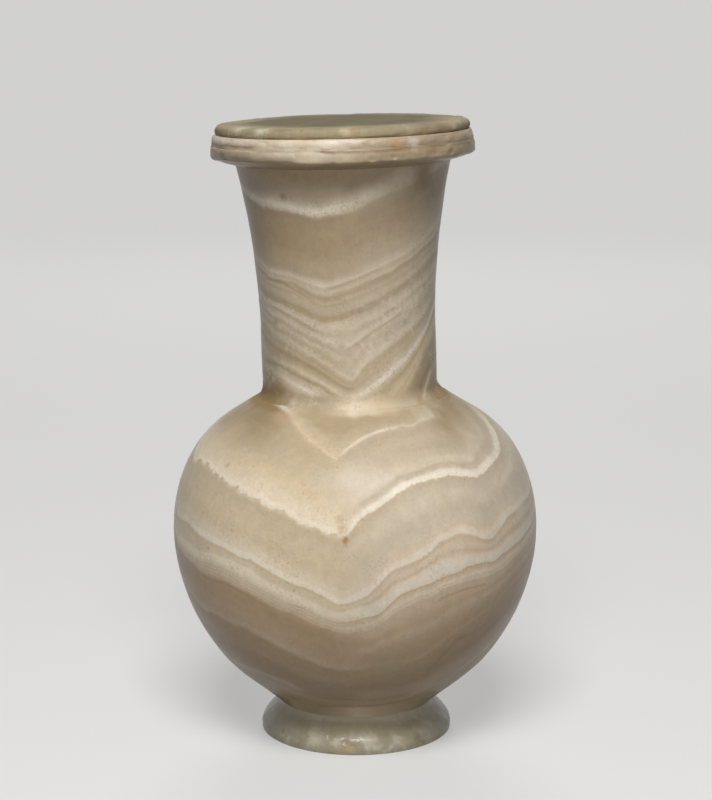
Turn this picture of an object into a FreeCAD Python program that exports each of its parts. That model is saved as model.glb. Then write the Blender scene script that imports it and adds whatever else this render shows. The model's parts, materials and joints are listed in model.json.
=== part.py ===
"""Lidded travertine vase in six pieces: a flared foot, a round belly, a tall flared neck
with its rim, a disc lid, and the two thin beds of gypsum plaster that hold the foot and
the neck. Millimetres, +Z up. The origin is on the ground, under the middle of the belly.

The neck was set a little askew on the belly: its axis starts beside the belly's and leans
towards -X. The neck and the lid are drawn upright on the Z axis and leaned afterwards.
"""
import FreeCAD, Part

import math
import os

# Joints between the stones
BED_THICKNESS = 0.4        # plaster between two stones
CUT_OVERRUN = 2.0          # how far a cutting solid runs past what it cuts

# Foot: a low flared disc, turned about its own axis
FOOT_OFFSET = 0.4          # its axis stands this far to +X of the belly's
FOOT_HEIGHT = 11.0
FOOT_RADIUS = 37.8         # at its widest, just above the ground
FOOT_TREAD_RADIUS = 37.0   # outer edge of the ring that it stands on
FOOT_TREAD_WIDTH = 8.5
FOOT_HOLLOW_DEPTH = 2.4    # the shallow hollow inside that ring
FOOT_WIDEST_HEIGHT = 3.0
FOOT_SLOPE_HEIGHT = 5.0    # the slope above, carried down, meets the widest radius here
FOOT_TOP_RADIUS = 31.0

# Belly: the points between its base and its seat are shares of its radius and height
BELLY_RADIUS = 71.2
BELLY_HEIGHT = 123.4       # from its flat base to its flat seat for the neck
BELLY_OUTLINE_SHARES = (
    (0.552, 0.070),
    (0.712, 0.151),
    (0.862, 0.272),
    (0.952, 0.394),
    (1.000, 0.572),
    (0.940, 0.759),
    (0.833, 0.864),
    (0.726, 0.921),
    (0.617, 0.961),
)
BELLY_WALL = 8.0
BELLY_FLOOR = 11.5         # stone under the hollow, on the axis
BASE_SETBACK = 1.2         # the flat base ends this far inside the foot's top edge
SEAT_MARGIN = 0.2          # the seat ends this far outside the neck's base

# Round tenon under the belly, in a socket in the foot
TENON_RADIUS = 16.0
TENON_LENGTH = 4.0

# Neck, along its own axis
NECK_OFFSET = -2.1         # its axis crosses the belly's seat at this X
NECK_LEAN = 1.6            # degrees from upright, towards -X
NECK_RADIUS = 34.0
NECK_STRAIGHT = 25.2       # upright stretch above the base, before the flare
NECK_FLARE = 64.0          # from there to the underside of the rim
NECK_TOP_RADIUS = 41.2
NECK_WALL = 7.0
SPIGOT_LEDGE = 3.6         # the base rests on this much stone outside the spigot
SPIGOT_LENGTH = 5.0        # the spigot reaches this far into the belly's mouth

# Rim, one stone with the neck: each rise is counted from where it leaves the neck
RIM_THICKNESS = 11.7
RIM_RADIUS = 50.7
RIM_UNDER_RADIUS = 48.3    # the sloping underside starts to round up here
RIM_UNDER_RISE = 1.7
RIM_WIDEST_LOW = 4.2       # the lower band is widest between these two rises
RIM_WIDEST_HIGH = 7.2
RIM_GROOVE_RADIUS = 49.9   # bottom of the worn line between the two bands
RIM_GROOVE_RISE = 8.0
RIM_UPPER_RADIUS = 50.2
RIM_UPPER_RISE = 8.8
RIM_TOP_RADIUS = 47.8      # outer edge of the flat top

# Lid: a disc with a low round boss underneath
LID_THICKNESS = 3.8        # at the edge of its slightly crowned top
LID_CROWN = 0.3
LID_RADIUS = 48.6
LID_UNDER_RADIUS = 47.4    # outer edge of the flat underside
LID_WIDEST_RISE = 1.3
LID_TOP_RADIUS = 45.6      # the crowned top ends here and rounds down to the edge
BOSS_DEPTH = 6.5
BOSS_CLEARANCE = 0.8       # all round, between the boss and the mouth
BOSS_ROUND = 1.5

# Radii and heights that follow from the sizes above
BORE_RADIUS = NECK_RADIUS - NECK_WALL
MOUTH_RADIUS = NECK_TOP_RADIUS - NECK_WALL
SPIGOT_RADIUS = NECK_RADIUS - SPIGOT_LEDGE
BOSS_RADIUS = MOUTH_RADIUS - BOSS_CLEARANCE
BASE_RADIUS = FOOT_TOP_RADIUS - FOOT_OFFSET - BASE_SETBACK
SEAT_RADIUS = NECK_RADIUS + abs(NECK_OFFSET) + SEAT_MARGIN

BELLY_BASE = FOOT_HEIGHT + BED_THICKNESS
TENON_END = FOOT_HEIGHT - TENON_LENGTH
SEAT = BELLY_BASE + BELLY_HEIGHT
SPIGOT_END = SEAT - SPIGOT_LENGTH
NECK_BASE = SEAT + BED_THICKNESS
FLARE_START = NECK_BASE + NECK_STRAIGHT
RIM_UNDER = FLARE_START + NECK_FLARE
RIM_TOP = RIM_UNDER + RIM_THICKNESS

ORIGIN = FreeCAD.Vector(0, 0, 0)
UP = FreeCAD.Vector(0, 0, 1)


def at(radius, height):
    """A point of an outline, which lies in the XZ plane."""
    return FreeCAD.Vector(radius, 0, height)


def path(*points):
    """Straight edges through the points, in order."""
    return [Part.LineSegment(a, b).toShape() for a, b in zip(points, points[1:])]


def soft_corner(start, corner, end):
    """A curve that leaves start towards corner and reaches end from there."""
    curve = Part.BezierCurve()
    curve.setPoles([start, corner, end])
    return curve.toShape()


def smooth(points):
    """One smooth curve through the points."""
    curve = Part.BSplineCurve()
    curve.interpolate(points)
    return curve.toShape()


def turned(edges):
    """The solid swept by a closed outline, once round the Z axis."""
    face = Part.Face(Part.Wire(edges))
    return face.revolve(ORIGIN, UP, 360)


def cylinder(radius, low, high, offset=0):
    """An upright cylinder between two heights, offset along X."""
    return Part.makeCylinder(radius, high - low, at(offset, low), UP)


def leaned(shape):
    """A shape drawn upright on the Z axis, set on the neck's leaning axis."""
    moved = shape.copy()
    moved.translate(at(NECK_OFFSET, 0))
    moved.rotate(at(NECK_OFFSET, SEAT), FreeCAD.Vector(0, -1, 0), NECK_LEAN)
    return moved


def flare(radius, top_radius):
    """Arc of a wall that is upright where the flare starts and widens up to the rim."""
    gain = top_radius - radius
    bend = (NECK_FLARE ** 2 + gain ** 2) / (2 * gain)
    middle = NECK_FLARE / 2
    middle_radius = radius + bend - math.sqrt(bend ** 2 - middle ** 2)
    return Part.Arc(
        at(radius, FLARE_START),
        at(middle_radius, FLARE_START + middle),
        at(top_radius, RIM_UNDER),
    ).toShape()


def belly_points():
    """The belly's outline, from the edge of its base to the edge of its seat."""
    between = [at(r * BELLY_RADIUS, BELLY_BASE + h * BELLY_HEIGHT) for r, h in BELLY_OUTLINE_SHARES]
    return [at(BASE_RADIUS, BELLY_BASE), *between, at(SEAT_RADIUS, SEAT)]


def inset(points, wall):
    """The inner points of an outline, each moved inwards, square to it, by the wall."""
    moved = []
    for before, here, after in zip(points, points[1:], points[2:]):
        run, rise = after.x - before.x, after.z - before.z
        length = math.hypot(run, rise)
        moved.append(at(here.x - wall * rise / length, here.z + wall * run / length))
    return moved


def make_foot():
    tread_inner = FOOT_TREAD_RADIUS - FOOT_TREAD_WIDTH
    outline = [
        *path(at(0, FOOT_HEIGHT), at(0, FOOT_HOLLOW_DEPTH)),
        soft_corner(
            at(0, FOOT_HOLLOW_DEPTH),
            at(tread_inner / 2, FOOT_HOLLOW_DEPTH),
            at(tread_inner, 0),
        ),
        *path(at(tread_inner, 0), at(FOOT_TREAD_RADIUS, 0)),
        soft_corner(
            at(FOOT_TREAD_RADIUS, 0),
            at(FOOT_RADIUS, 0),
            at(FOOT_RADIUS, FOOT_WIDEST_HEIGHT),
        ),
        soft_corner(
            at(FOOT_RADIUS, FOOT_WIDEST_HEIGHT),
            at(FOOT_RADIUS, FOOT_SLOPE_HEIGHT),
            at(FOOT_TOP_RADIUS, FOOT_HEIGHT),
        ),
        *path(at(FOOT_TOP_RADIUS, FOOT_HEIGHT), at(0, FOOT_HEIGHT)),
    ]
    foot = turned(outline)
    foot.translate(at(FOOT_OFFSET, 0))
    socket = cylinder(
        TENON_RADIUS + BED_THICKNESS,
        TENON_END - BED_THICKNESS,
        FOOT_HEIGHT + CUT_OVERRUN,
    )
    return foot.cut(socket)


def make_foot_bedding():
    sheet = cylinder(BASE_RADIUS, FOOT_HEIGHT, BELLY_BASE)
    filling = cylinder(TENON_RADIUS + BED_THICKNESS, TENON_END - BED_THICKNESS, BELLY_BASE)
    tenon = cylinder(TENON_RADIUS, TENON_END, BELLY_BASE + CUT_OVERRUN)
    return sheet.fuse(filling).cut(tenon).removeSplitter()


def make_belly():
    points = belly_points()
    stone = turned([
        *path(at(0, SEAT), at(0, TENON_END), at(TENON_RADIUS, TENON_END)),
        *path(at(TENON_RADIUS, TENON_END), at(TENON_RADIUS, BELLY_BASE), points[0]),
        smooth(points),
        *path(points[-1], at(0, SEAT)),
    ])
    floor = BELLY_BASE + BELLY_FLOOR
    ceiling = SEAT - BELLY_WALL
    wall = inset(points, BELLY_WALL)
    hollow = turned([
        *path(at(0, ceiling), at(0, floor)),
        soft_corner(at(0, floor), at(wall[0].x, floor), wall[1]),
        smooth([*wall[1:], at(SPIGOT_RADIUS, ceiling)]),
        *path(at(SPIGOT_RADIUS, ceiling), at(0, ceiling)),
    ])
    mouth = cylinder(
        SPIGOT_RADIUS + BED_THICKNESS,
        ceiling - CUT_OVERRUN,
        SEAT + CUT_OVERRUN,
        NECK_OFFSET,
    )
    return stone.cut(hollow).cut(mouth)


def make_neck_bedding():
    sheet = cylinder(NECK_RADIUS, SEAT, NECK_BASE, NECK_OFFSET)
    sleeve = cylinder(SPIGOT_RADIUS + BED_THICKNESS, SPIGOT_END, NECK_BASE, NECK_OFFSET)
    spigot = cylinder(SPIGOT_RADIUS, SPIGOT_END - CUT_OVERRUN, NECK_BASE + CUT_OVERRUN, NECK_OFFSET)
    return sheet.fuse(sleeve).cut(spigot).removeSplitter()


def rim_outline():
    """The rim's edges, from the top of the neck round to the edge of its flat top."""
    neck_top = at(NECK_TOP_RADIUS, RIM_UNDER)
    under = at(RIM_UNDER_RADIUS, RIM_UNDER + RIM_UNDER_RISE)
    low = at(RIM_RADIUS, RIM_UNDER + RIM_WIDEST_LOW)
    high = at(RIM_RADIUS, RIM_UNDER + RIM_WIDEST_HIGH)
    groove = at(RIM_GROOVE_RADIUS, RIM_UNDER + RIM_GROOVE_RISE)
    upper = at(RIM_UPPER_RADIUS, RIM_UNDER + RIM_UPPER_RISE)
    return [
        *path(neck_top, under),
        soft_corner(under, at(RIM_RADIUS, under.z), low),
        *path(low, high),
        soft_corner(high, at(RIM_RADIUS, groove.z), groove),
        soft_corner(groove, at(RIM_UPPER_RADIUS, groove.z), upper),
        soft_corner(upper, at(RIM_UPPER_RADIUS, RIM_TOP), at(RIM_TOP_RADIUS, RIM_TOP)),
    ]


def make_neck():
    root = NECK_BASE - CUT_OVERRUN
    shaft = leaned(turned([
        *path(at(0, RIM_TOP), at(0, root), at(NECK_RADIUS, root), at(NECK_RADIUS, FLARE_START)),
        flare(NECK_RADIUS, NECK_TOP_RADIUS),
        *rim_outline(),
        *path(at(RIM_TOP_RADIUS, RIM_TOP), at(0, RIM_TOP)),
    ]))
    # The leaning shaft is sawn off level, to stand on the belly's level seat.
    sawn_off = cylinder(BELLY_RADIUS, root - NECK_RADIUS, NECK_BASE)
    spigot = cylinder(SPIGOT_RADIUS, SPIGOT_END, NECK_BASE, NECK_OFFSET)
    low = SPIGOT_END - CUT_OVERRUN
    high = RIM_TOP + CUT_OVERRUN
    bore = leaned(turned([
        *path(at(0, high), at(0, low), at(BORE_RADIUS, low), at(BORE_RADIUS, FLARE_START)),
        flare(BORE_RADIUS, MOUTH_RADIUS),
        *path(at(MOUTH_RADIUS, RIM_UNDER), at(MOUTH_RADIUS, high), at(0, high)),
    ]))
    return shaft.cut(sawn_off).fuse(spigot).cut(bore)


def make_lid():
    edge = RIM_TOP + LID_THICKNESS
    crown = edge + LID_CROWN
    boss_end = RIM_TOP - BOSS_DEPTH
    widest = at(LID_RADIUS, RIM_TOP + LID_WIDEST_RISE)
    under = at(LID_UNDER_RADIUS, RIM_TOP)
    top = at(LID_TOP_RADIUS, edge)
    boss_side = at(BOSS_RADIUS, boss_end + BOSS_ROUND)
    boss_face = at(BOSS_RADIUS - BOSS_ROUND, boss_end)
    return leaned(turned([
        *path(at(0, crown), at(0, boss_end), boss_face),
        soft_corner(boss_face, at(BOSS_RADIUS, boss_end), boss_side),
        *path(boss_side, at(BOSS_RADIUS, RIM_TOP), under),
        soft_corner(under, at(LID_RADIUS, RIM_TOP), widest),
        soft_corner(widest, at(LID_RADIUS, edge), top),
        soft_corner(top, at(LID_TOP_RADIUS / 2, crown), at(0, crown)),
    ]))


PIECES = {
    "foot": make_foot,
    "foot_bedding": make_foot_bedding,
    "belly": make_belly,
    "neck_bedding": make_neck_bedding,
    "neck": make_neck,
    "lid": make_lid,
}


def main():
    os.makedirs("parts", exist_ok=True)
    for name, make in PIECES.items():
        shape = make()
        print(name, len(shape.Solids), round(shape.Volume / 1000, 2), "cm3", shape.isValid())
        shape.exportStep(f"parts/{name}.step")


main()
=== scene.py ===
"""The looks of a lidded banded stone vase: belly, neck with its rim, foot and lid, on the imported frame."""

import json
import math
from functools import cached_property
from types import SimpleNamespace

import bmesh
import bpy
import numpy as np
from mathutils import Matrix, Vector
from mathutils.bvhtree import BVHTree


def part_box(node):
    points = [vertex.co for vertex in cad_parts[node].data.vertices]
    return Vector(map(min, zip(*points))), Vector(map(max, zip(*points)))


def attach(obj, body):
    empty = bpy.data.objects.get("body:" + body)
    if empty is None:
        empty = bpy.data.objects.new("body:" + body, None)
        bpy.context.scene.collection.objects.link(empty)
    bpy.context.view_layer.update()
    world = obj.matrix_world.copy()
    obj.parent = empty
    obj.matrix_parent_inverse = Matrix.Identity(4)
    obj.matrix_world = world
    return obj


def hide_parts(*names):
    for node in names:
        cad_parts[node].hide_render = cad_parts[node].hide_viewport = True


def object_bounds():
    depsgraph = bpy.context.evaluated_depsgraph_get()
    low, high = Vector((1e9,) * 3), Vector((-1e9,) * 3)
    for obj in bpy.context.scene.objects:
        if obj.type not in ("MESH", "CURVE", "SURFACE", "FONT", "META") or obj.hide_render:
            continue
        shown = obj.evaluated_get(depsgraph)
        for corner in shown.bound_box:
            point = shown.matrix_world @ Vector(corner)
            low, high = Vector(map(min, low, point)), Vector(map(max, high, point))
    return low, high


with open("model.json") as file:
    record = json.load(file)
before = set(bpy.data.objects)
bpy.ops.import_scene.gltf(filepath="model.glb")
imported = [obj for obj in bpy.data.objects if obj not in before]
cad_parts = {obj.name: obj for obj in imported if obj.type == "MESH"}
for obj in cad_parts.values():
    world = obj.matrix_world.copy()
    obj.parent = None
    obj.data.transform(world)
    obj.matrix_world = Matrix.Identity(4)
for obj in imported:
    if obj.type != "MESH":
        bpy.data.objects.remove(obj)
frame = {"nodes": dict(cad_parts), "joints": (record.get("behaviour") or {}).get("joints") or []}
cad_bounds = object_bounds()

MM = 0.001

# The photographed view: a picture 712 by 800 pixels taken from in front and a little above
PHOTO_WIDTH = 712
PHOTO_HEIGHT = 800
FOCAL_PIXELS = 2173
CAMERA_PLACE = Vector((0.0003, -0.831, 0.289))
CAMERA_PITCH = math.radians(10.72)
LOOK = Vector((0, math.cos(CAMERA_PITCH), -math.sin(CAMERA_PITCH)))
LOOK_UP = Vector((0, math.sin(CAMERA_PITCH), math.cos(CAMERA_PITCH)))
LOOK_RIGHT = Vector((1, 0, 0))

# Edges between the stone's layers on the belly, as pixels of the photographed view from left to right
BELLY_EDGES = {
    "neck_cream": [(306, 406), (316, 411), (330, 416), (352, 418), (375, 417), (390, 413), (402, 406)],
    "inner_vee": [
        (277, 403), (288, 410), (292, 421), (300, 432), (317, 446), (325, 454), (332, 459), (338, 461),
        (344, 452), (355, 443), (365, 437), (378, 431.5), (428, 419.5), (436, 415),
    ],
    "first_white_top": [
        (200, 446), (209, 451), (231, 474), (246, 480), (258, 483), (270, 492), (286, 501), (302, 508),
        (318, 514), (345, 522), (372, 501), (400, 482), (412, 477), (440, 468), (453, 466), (477, 467),
        (488, 456), (493, 449), (493, 442), (489, 433), (475, 412),
    ],
    "first_white_foot": [
        (193, 461), (201, 461), (209, 467), (215, 475), (225, 482), (237, 488), (244, 494), (254, 498),
        (264, 505), (276, 508), (289, 514), (297, 521), (304, 525), (315, 528), (345, 539), (359, 520),
        (402, 491), (416, 484), (440, 478), (454, 476), (468, 476), (479, 478), (487, 471), (496, 461),
        (501, 452), (500, 442), (489, 421), (480, 411),
    ],
    "second_white_top": [
        (177, 507), (187, 514), (203, 529), (217, 537), (251, 552), (285, 572), (305, 579), (336, 597),
        (346, 597), (368, 587), (383, 571), (391, 564), (411, 556), (432, 543), (439, 536), (457, 527),
        (465, 525), (484, 531), (491, 530), (499, 517), (504, 511), (528, 486),
    ],
    "second_white_foot": [
        (178, 516), (187, 522), (204, 538), (217, 545), (227, 549), (241, 557), (251, 560), (292, 584),
        (305, 587), (317, 593), (338, 606), (347, 604), (368, 596), (391, 571), (411, 564), (432, 551),
        (439, 543), (457, 534), (466, 533), (484, 539), (493, 539), (507, 518), (516, 510), (525, 500),
        (530, 492),
    ],
    "third_white_top": [
        (178, 532), (187, 542), (197, 549), (215, 554), (233, 561), (251, 570), (265, 580), (277, 586),
        (295, 593), (326, 609), (342, 613), (357, 608), (370, 606), (377, 602), (393, 588), (416, 576),
        (439, 562), (453, 557), (490, 552), (506, 541), (515, 533), (524, 524), (530, 515),
    ],
    "brown_thread": [
        (181, 549), (190, 557), (200, 562), (221, 568), (230, 574), (263, 591), (283, 603), (293, 605),
        (311, 613), (320, 619), (330, 622), (342, 623), (354, 622), (379, 616), (402, 594), (425, 585),
        (437, 582), (446, 576), (457, 573), (467, 568), (480, 564), (493, 562), (512, 548), (522, 539),
        (529, 530),
    ],
    "pale_foot": [
        (185, 557), (192, 563), (198, 570), (206, 575), (217, 579), (227, 581), (236, 587), (256, 597),
        (281, 612), (290, 613), (317, 627), (338, 634), (352, 634), (372, 629), (390, 619), (402, 610),
        (415, 603), (430, 598), (447, 588), (466, 582), (490, 577), (504, 568), (524, 547),
    ],
    "low_streak": [
        (196, 600), (205, 611), (218, 616), (230, 624), (246, 629), (328, 669), (346, 671), (393, 664),
        (410, 664), (424, 658), (455, 633), (475, 620), (495, 604), (508, 588),
    ],
    "base_arc": [
        (228, 656), (259, 677), (301, 697), (320, 702), (345, 704), (386, 703), (408, 698), (437, 684),
        (464, 667), (482, 651),
    ],
    "base_line": [(300, 708), (330, 713), (370, 713), (400, 709), (425, 700), (443, 690)],
}

# The same on the neck
NECK_EDGES = {
    "cloud_top": [(242, 184), (285, 197), (318, 204), (352, 193), (366, 184), (400, 169), (425, 165)],
    "cloud_foot": [(264, 210), (284, 213), (316, 220), (352, 214), (366, 206), (381, 199), (441, 168)],
    "upper_white_top": [
        (266, 266), (293, 274), (310, 281), (325, 283), (340, 280), (355, 275), (407, 251), (421, 240),
        (431, 230), (438, 220),
    ],
    "upper_white_foot": [
        (270, 279), (291, 284), (324, 299), (340, 296), (356, 290), (374, 285), (387, 279), (412, 262),
        (425, 250), (437, 236),
    ],
    "tan_band_top": [
        (266, 292), (281, 298), (297, 306), (320, 316), (332, 317), (356, 309), (374, 302), (412, 277),
        (422, 268), (436, 251),
    ],
    "tan_band_foot": [
        (266, 299), (281, 305), (297, 313), (320, 323), (332, 324), (356, 316), (374, 309), (412, 284),
        (422, 275), (436, 259),
    ],
    "thin_white_top": [
        (272, 328), (289, 338), (312, 353), (325, 360), (337, 369), (347, 375), (353, 375), (362, 361),
        (374, 349), (399, 331), (412, 320), (427, 303), (436, 284),
    ],
    "thin_white_foot": [
        (272, 334), (289, 344), (312, 359), (325, 366), (337, 375), (347, 381), (354, 382), (363, 372),
        (375, 362), (400, 344), (412, 332), (427, 315), (436, 293),
    ],
    "lower_white_top": [
        (269, 351), (300, 367), (325, 381), (337, 389), (347, 394), (354, 392), (366, 386), (393, 362),
        (405, 354), (420, 332), (436, 301),
    ],
    "tan_thread": [
        (261, 357), (279, 365), (291, 372), (320, 385), (337, 398), (348, 405), (356, 403), (382, 389),
        (399, 372), (407, 365), (414, 355), (424, 338), (436, 311),
    ],
    "bright_foot": [
        (263, 367), (271, 373), (279, 381), (320, 404), (337, 416), (352, 417), (375, 416), (387, 412),
        (396, 405), (413, 376), (419, 363), (424, 348), (436, 325),
    ],
}

# How far the layers climb from the limbs to the middle of the back
BELLY_BACK_RISE = 24 * MM
NECK_BACK_RISE = 13 * MM

# How thick a layer is past the first and last edges, and at least between two edges
PLAIN_LAYER = 10 * MM
THINNEST_LAYER = 0.25 * MM

# An edge's height is worked out at every such angle and smoothed over such an angle, in degrees
ANGLE_STEP = 0.5
SMOOTHING = 0.7

# Round the back an edge has points this many degrees apart
BACK_STEP = 8

# Edges that run out over the shoulder under the neck, so many degrees past their ends
RUN_OUT = 5
OPEN_EDGES = ("neck_cream", "inner_vee")

# An outline segment this many times as long as the next one is taken as straight
STRAIGHT_RUN = 3

# Turns in the outline and angles between faces that stay sharp, in degrees
OUTLINE_CORNER = 30
SHARP_EDGE = 40

# Gaps in metres that count as none, between two points and from the section's plane or the axis
SAME_POINT = 1e-6
SAME_PLANE = 1e-7


def wave_field(points, wavelength, seed, count=20):
    """A smooth random height at each point, about -1 to 1, from plane waves in random directions."""
    rng = np.random.default_rng(seed)
    directions = rng.normal(size=(count, 3))
    directions /= np.linalg.norm(directions, axis=1)[:, None]
    lengths = wavelength * rng.uniform(0.7, 1.5, count)
    phases = rng.uniform(0, 2 * math.pi, count)
    total = np.zeros(len(points))
    for direction, length, phase in zip(directions, lengths, phases):
        total += np.cos(points @ direction * (2 * math.pi / length) + phase)
    return total / math.sqrt(count)


def waves(points, level, *parts):
    """A level plus wave fields, each given by its share, its wavelength in millimetres and its seed."""
    return level + sum(share * wave_field(points, length * MM, seed) for share, length, seed in parts)


def smooth_step(low, high, x):
    """0 below low, 1 above high, smooth in between. low may be above high."""
    t = np.clip((x - low) / (high - low), 0, 1)
    return t * t * (3 - 2 * t)


def bump_at(middle, width, x):
    """1 where x is the middle, fading to 0 within about two widths."""
    return np.exp(-(((x - middle) / width) ** 2))


class TurnedFrame:
    """The axis that a piece was turned on, with heights from a foot point and angles from the front."""

    def __init__(self, foot_point, axis):
        self.foot_point = np.array(foot_point)
        self.axis = np.array(axis) / np.linalg.norm(axis)
        self.side = np.array((self.axis[2], 0, -self.axis[0]))

    def polar(self, points):
        """Radius, angle in degrees from the front towards the right, and height."""
        away = np.asarray(points, float) - self.foot_point
        across = away @ self.side
        depth = away[..., 1]
        angle = np.degrees(np.arctan2(across, -depth))
        return np.hypot(across, depth), angle, away @ self.axis

    def place(self, radius, angle, height):
        """The points with these radii, angles and heights."""
        across = radius * np.sin(np.radians(angle))
        depth = -radius * np.cos(np.radians(angle))
        points = self.foot_point + across[..., None] * self.side + height[..., None] * self.axis
        points[..., 1] += depth
        return points


def outline_of(node, turned):
    """The node's section on one side of its axis, as (radius, height) points in order along the outline."""
    work = bmesh.new()
    work.from_mesh(frame["nodes"][node].data)
    bmesh.ops.remove_doubles(work, verts=work.verts, dist=SAME_POINT)
    parts = work.verts[:] + work.edges[:] + work.faces[:]
    cut = bmesh.ops.bisect_plane(
        work, geom=parts, dist=SAME_PLANE, plane_co=Vector(turned.foot_point), plane_no=(0, 1, 0)
    )
    links = {}
    for edge in cut["geom_cut"]:
        if not isinstance(edge, bmesh.types.BMEdge):
            continue
        ends = []
        for vertex in edge.verts:
            away = np.array(vertex.co) - turned.foot_point
            ends.append((away @ turned.side, away @ turned.axis))
        ends.sort()
        if ends[1][0] <= SAME_PLANE:
            continue
        if ends[0][0] < 0:
            share = -ends[0][0] / (ends[1][0] - ends[0][0])
            ends[0] = (0.0, ends[0][1] + share * (ends[1][1] - ends[0][1]))
        a, b = [(round(radius, 7), round(height, 7)) for radius, height in ends]
        if a != b:
            links.setdefault(a, []).append(b)
            links.setdefault(b, []).append(a)
    work.free()
    ends = sorted(point for point, others in links.items() if len(others) == 1)
    path = [ends[0] if ends else max(links)]
    while True:
        onward = [point for point in links[path[-1]] if point not in path]
        if not onward:
            return np.array(path), not ends
        path.append(onward[0])


def turn_between(a, b, c):
    """How far the outline turns at b, in degrees."""
    first, second = b - a, c - b
    cosine = first @ second / (np.linalg.norm(first) * np.linalg.norm(second))
    return math.degrees(math.acos(max(-1, min(1, cosine))))


def even_slope(a, b, c):
    """The unit-speed slope at b of the parabola through three points, or of a long straight run there."""
    first, second = np.linalg.norm(b - a), np.linalg.norm(c - b)
    if first > STRAIGHT_RUN * second:
        return (b - a) / first
    if second > STRAIGHT_RUN * first:
        return (c - b) / second
    return ((b - a) / first * second + (c - b) / second * first) / (first + second)


def fine_outline(points, closed, step):
    """The outline with extra points at most a step apart, on a smooth curve except at its corners."""
    n = len(points)
    fine = []
    for i in range(n if closed else n - 1):
        before, a, b, after = (points[(i + k) % n] for k in (-1, 0, 1, 2))
        length = np.linalg.norm(b - a)
        slope_a = slope_b = b - a
        if (closed or i > 0) and turn_between(before, a, b) < OUTLINE_CORNER:
            slope_a = even_slope(before, a, b) * length
        if (closed or i + 2 < n) and turn_between(a, b, after) < OUTLINE_CORNER:
            slope_b = even_slope(a, b, after) * length
        pieces = max(1, math.ceil(length / step))
        for k in range(pieces):
            t = k / pieces
            straight = a + (b - a) * (3 * t**2 - 2 * t**3)
            fine.append(straight + slope_a * (t**3 - 2 * t**2 + t) + slope_b * (t**3 - t**2))
    if not closed:
        fine.append(points[-1])
    return np.array(fine)


def turned_mesh(name, node, turned, segments, step, relief, level_height=None):
    """A closed mesh turned from the node's outline and worn inwards, its rings level below level_height."""
    outline, closed = outline_of(node, turned)
    rings = fine_outline(outline, closed, step)
    area = sum(a[0] * b[1] - b[0] * a[1] for a, b in zip(rings, np.roll(rings, -1, 0)))
    if area < 0:
        rings = rings[::-1].copy()
    along = np.roll(rings, -1, 0) - np.roll(rings, 1, 0)
    if not closed:
        along[0] = rings[1] - rings[0]
        along[-1] = rings[-1] - rings[-2]
    along /= np.linalg.norm(along, axis=1)[:, None]
    columns = (rings[:, 0], rings[:, 1], along[:, 1], -along[:, 0])
    radius, height, normal_out, normal_up = (np.repeat(column, segments) for column in columns)
    angle = np.tile(-180 + np.arange(segments) * 360 / segments, len(rings))
    at = SimpleNamespace(
        points=turned.place(radius, angle, height), radius=radius, angle=angle, height=height,
        normal_out=normal_out, normal_up=normal_up,
    )
    depth = np.maximum(relief(at), 0) * smooth_step(0, 2 * MM, radius)
    points = turned.place(np.maximum(radius - depth * normal_out, 0), angle, height - depth * normal_up)
    if level_height:
        across = radius * np.sin(np.radians(angle))
        points[:, 2] += turned.side[2] * (radius - across) * smooth_step(level_height, 0, height)
    vertex_of = np.arange(len(points)).reshape(len(rings), segments)
    on_axis = rings[:, 0] < SAME_POINT
    vertex_of[on_axis] = vertex_of[on_axis, :1]
    faces = []
    for i in range(len(rings) if closed else len(rings) - 1):
        low, high = vertex_of[i].tolist(), vertex_of[(i + 1) % len(rings)].tolist()
        for k in range(segments):
            m = (k + 1) % segments
            loop = (low[k], low[m], high[m], high[k])
            face = tuple(v for n, v in enumerate(loop) if v != loop[n - 1])
            if len(face) > 2:
                faces.append(face)
    mesh = bpy.data.meshes.new(name)
    mesh.from_pydata(points.tolist(), [], faces)
    work = bmesh.new()
    work.from_mesh(mesh)
    loose = [v for v in work.verts if not v.link_faces]
    bmesh.ops.delete(work, geom=loose, context="VERTS")
    bmesh.ops.recalc_face_normals(work, faces=work.faces)
    work.to_mesh(mesh)
    work.free()
    mesh.polygons.foreach_set("use_smooth", np.ones(len(mesh.polygons), bool))
    mesh.set_sharp_from_angle(angle=math.radians(SHARP_EDGE))
    piece = bpy.data.objects.new(name, mesh)
    bpy.context.scene.collection.objects.link(piece)
    return piece


def points_of(piece):
    places = np.zeros(len(piece.data.vertices) * 3)
    piece.data.vertices.foreach_get("co", places)
    return places.reshape(-1, 3)


def move_points(piece, points):
    piece.data.vertices.foreach_set("co", points.ravel())
    piece.data.update()


def put_number(piece, name, values):
    layer = piece.data.attributes.new(name, "FLOAT", "POINT")
    layer.data.foreach_set("value", values.astype(np.float32))


def photo_ray(pixel):
    """The direction from the camera through a pixel of the photographed view."""
    x = (pixel[0] - PHOTO_WIDTH / 2) / FOCAL_PIXELS
    y = (PHOTO_HEIGHT / 2 - pixel[1]) / FOCAL_PIXELS
    return (LOOK + LOOK_RIGHT * x + LOOK_UP * y).normalized()


def seen_on(node, turned, pixel, spare_radius=None):
    """Angle and height where the pixel's ray meets the node, or a cylinder of the spare radius below it."""
    ray = photo_ray(pixel)
    hit = SURFACES[node].ray_cast(CAMERA_PLACE, ray)[0]
    if hit is None and spare_radius:
        flat = Vector((ray.x, ray.y))
        away = Vector((CAMERA_PLACE.x - turned.foot_point[0], CAMERA_PLACE.y))
        half = away.dot(flat) / flat.dot(flat)
        inside = half**2 - (away.dot(away) - spare_radius**2) / flat.dot(flat)
        hit = CAMERA_PLACE + ray * (-half - math.sqrt(inside))
    _, angle, height = turned.polar(hit)
    return float(angle), float(height)


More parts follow.
